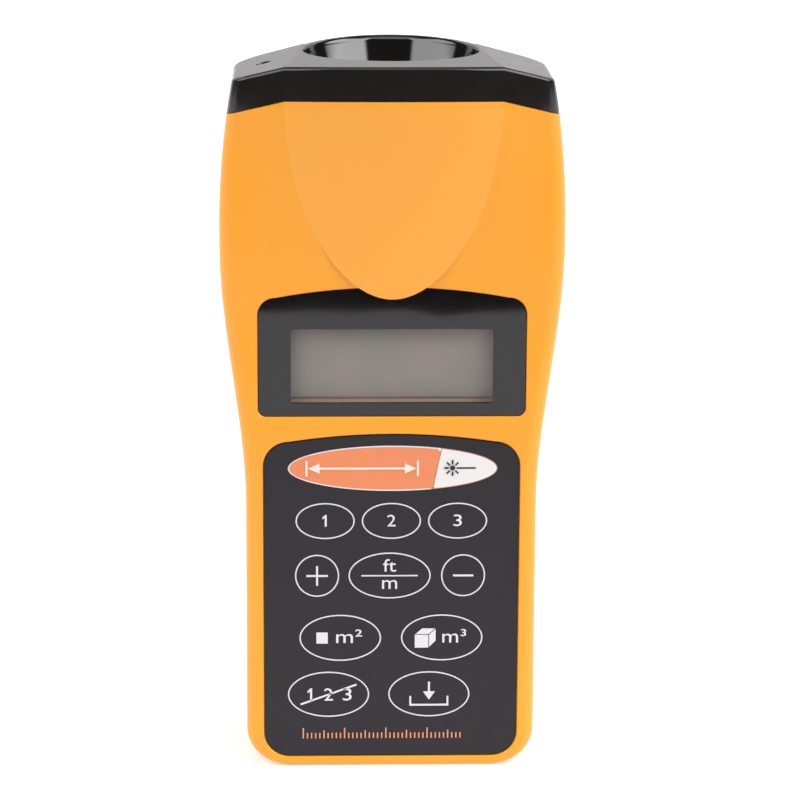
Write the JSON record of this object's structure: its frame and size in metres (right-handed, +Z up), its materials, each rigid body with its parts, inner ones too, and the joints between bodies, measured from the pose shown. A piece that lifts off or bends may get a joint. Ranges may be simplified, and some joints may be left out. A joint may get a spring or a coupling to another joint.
{
  "type": "laser distance meter",
  "caption": "Hand-held distance meter with a round sensing horn and laser aperture in its top end, display window, keypad and battery door.",
  "frame": {"origin": "middle of the flat bottom end, which is the end a measurement starts from", "axes": "+Z up the meter's length to the horn, -Y out of the keypad, +X to the right as the keypad is looked at"},
  "size_m": [0.0656, 0.0444, 0.1378],
  "materials": {
    "orange_casing": "fine satin texture",
    "black_cap": "satin outside, polished inside the horn",
    "black_plastic": "matte",
    "keypad_film": "fine matte texture",
    "orange_key": "satin",
    "pale_key": "satin",
    "display_window": "polished",
    "lcd_glass": "satin polariser",
    "backlight_diffuser": "matte",
    "black_rubber": "matte",
    "circuit_board": "solder mask",
    "chip_plastic": "matte",
    "capacitor_sleeve": "glossy",
    "steel": "plated",
    "brass": "turned",
    "battery_jacket": "printed metal jacket",
    "red_insulation": "satin"
  },
  "bodies": {
    "casing": {"amplifier_chip": "chip_plastic", "battery": "battery_jacket", "battery_negative_terminal": "steel", "battery_positive_terminal": "steel", "black_lead": "black_plastic", "board_screw_1": "steel", "board_screw_2": "steel", "capacitor": "capacitor_sleeve", "crystal": "steel", "display_window": "display_window", "front_housing": "orange_casing", "housing_screw_1": "steel", "housing_screw_2": "steel", "housing_screw_3": "steel", "housing_screw_4": "steel", "isolator_ring": "black_rubber", "key_mat": "black_rubber", "keypad_film": "keypad_film", "laser_barrel": "brass", "laser_board": "circuit_board", "laser_lens": "display_window", "laser_window": "display_window", "lcd_backlight": "backlight_diffuser", "lcd_frame": "black_plastic", "lcd_glass": "lcd_glass", "main_board": "circuit_board", "microcontroller": "chip_plastic", "rear_housing": "orange_casing", "red_lead": "red_insulation", "snap_connector": "black_plastic", "step_up_transformer": "chip_plastic", "top_cap": "black_cap", "transducer_base": "black_plastic", "transducer_can": "steel", "transducer_cone": "steel", "transducer_mesh": "steel", "zebra_strip": "black_rubber"},
    "battery_door": {"battery_door": "orange_casing"},
    "key_area": {"key_area": "keypad_film"},
    "key_clear": {"key_clear": "keypad_film"},
    "key_laser": {"key_laser": "pale_key"},
    "key_measure": {"key_measure": "orange_key"},
    "key_memory_1": {"key_memory_1": "keypad_film"},
    "key_memory_2": {"key_memory_2": "keypad_film"},
    "key_memory_3": {"key_memory_3": "keypad_film"},
    "key_minus": {"key_minus": "keypad_film"},
    "key_plus": {"key_plus": "keypad_film"},
    "key_store": {"key_store": "keypad_film"},
    "key_units": {"key_units": "keypad_film"},
    "key_volume": {"key_volume": "keypad_film"}
  },
  "joints": [
    {"name": "battery_door_hinge", "type": "hinge", "parent": "casing", "child": "battery_door", "pos_m": [0, 0.01565, 0.00695], "axis": [-1, 0, 0], "range_deg": [0, 75]},
    {"name": "key_area_press", "type": "slide", "parent": "casing", "child": "key_area", "axis": [0, 1, 0], "range_m": [0, 0.0005], "stiffness_N_per_m": 400},
    {"name": "key_clear_press", "type": "slide", "parent": "casing", "child": "key_clear", "axis": [0, 1, 0], "range_m": [0, 0.0005], "stiffness_N_per_m": 400},
    {"name": "key_laser_press", "type": "slide", "parent": "casing", "child": "key_laser", "axis": [0, 1, 0], "range_m": [0, 0.0005], "stiffness_N_per_m": 400},
    {"name": "key_measure_press", "type": "slide", "parent": "casing", "child": "key_measure", "axis": [0, 1, 0], "range_m": [0, 0.0005], "stiffness_N_per_m": 400},
    {"name": "key_memory_1_press", "type": "slide", "parent": "casing", "child": "key_memory_1", "axis": [0, 1, 0], "range_m": [0, 0.0005], "stiffness_N_per_m": 400},
    {"name": "key_memory_2_press", "type": "slide", "parent": "casing", "child": "key_memory_2", "axis": [0, 1, 0], "range_m": [0, 0.0005], "stiffness_N_per_m": 400},
    {"name": "key_memory_3_press", "type": "slide", "parent": "casing", "child": "key_memory_3", "axis": [0, 1, 0], "range_m": [0, 0.0005], "stiffness_N_per_m": 400},
    {"name": "key_minus_press", "type": "slide", "parent": "casing", "child": "key_minus", "axis": [0, 1, 0], "range_m": [0, 0.0005], "stiffness_N_per_m": 400},
    {"name": "key_plus_press", "type": "slide", "parent": "casing", "child": "key_plus", "axis": [0, 1, 0], "range_m": [0, 0.0005], "stiffness_N_per_m": 400},
    {"name": "key_store_press", "type": "slide", "parent": "casing", "child": "key_store", "axis": [0, 1, 0], "range_m": [0, 0.0005], "stiffness_N_per_m": 400},
    {"name": "key_units_press", "type": "slide", "parent": "casing", "child": "key_units", "axis": [0, 1, 0], "range_m": [0, 0.0005], "stiffness_N_per_m": 400},
    {"name": "key_volume_press", "type": "slide", "parent": "casing", "child": "key_volume", "axis": [0, 1, 0], "range_m": [0, 0.0005], "stiffness_N_per_m": 400}
  ]
}
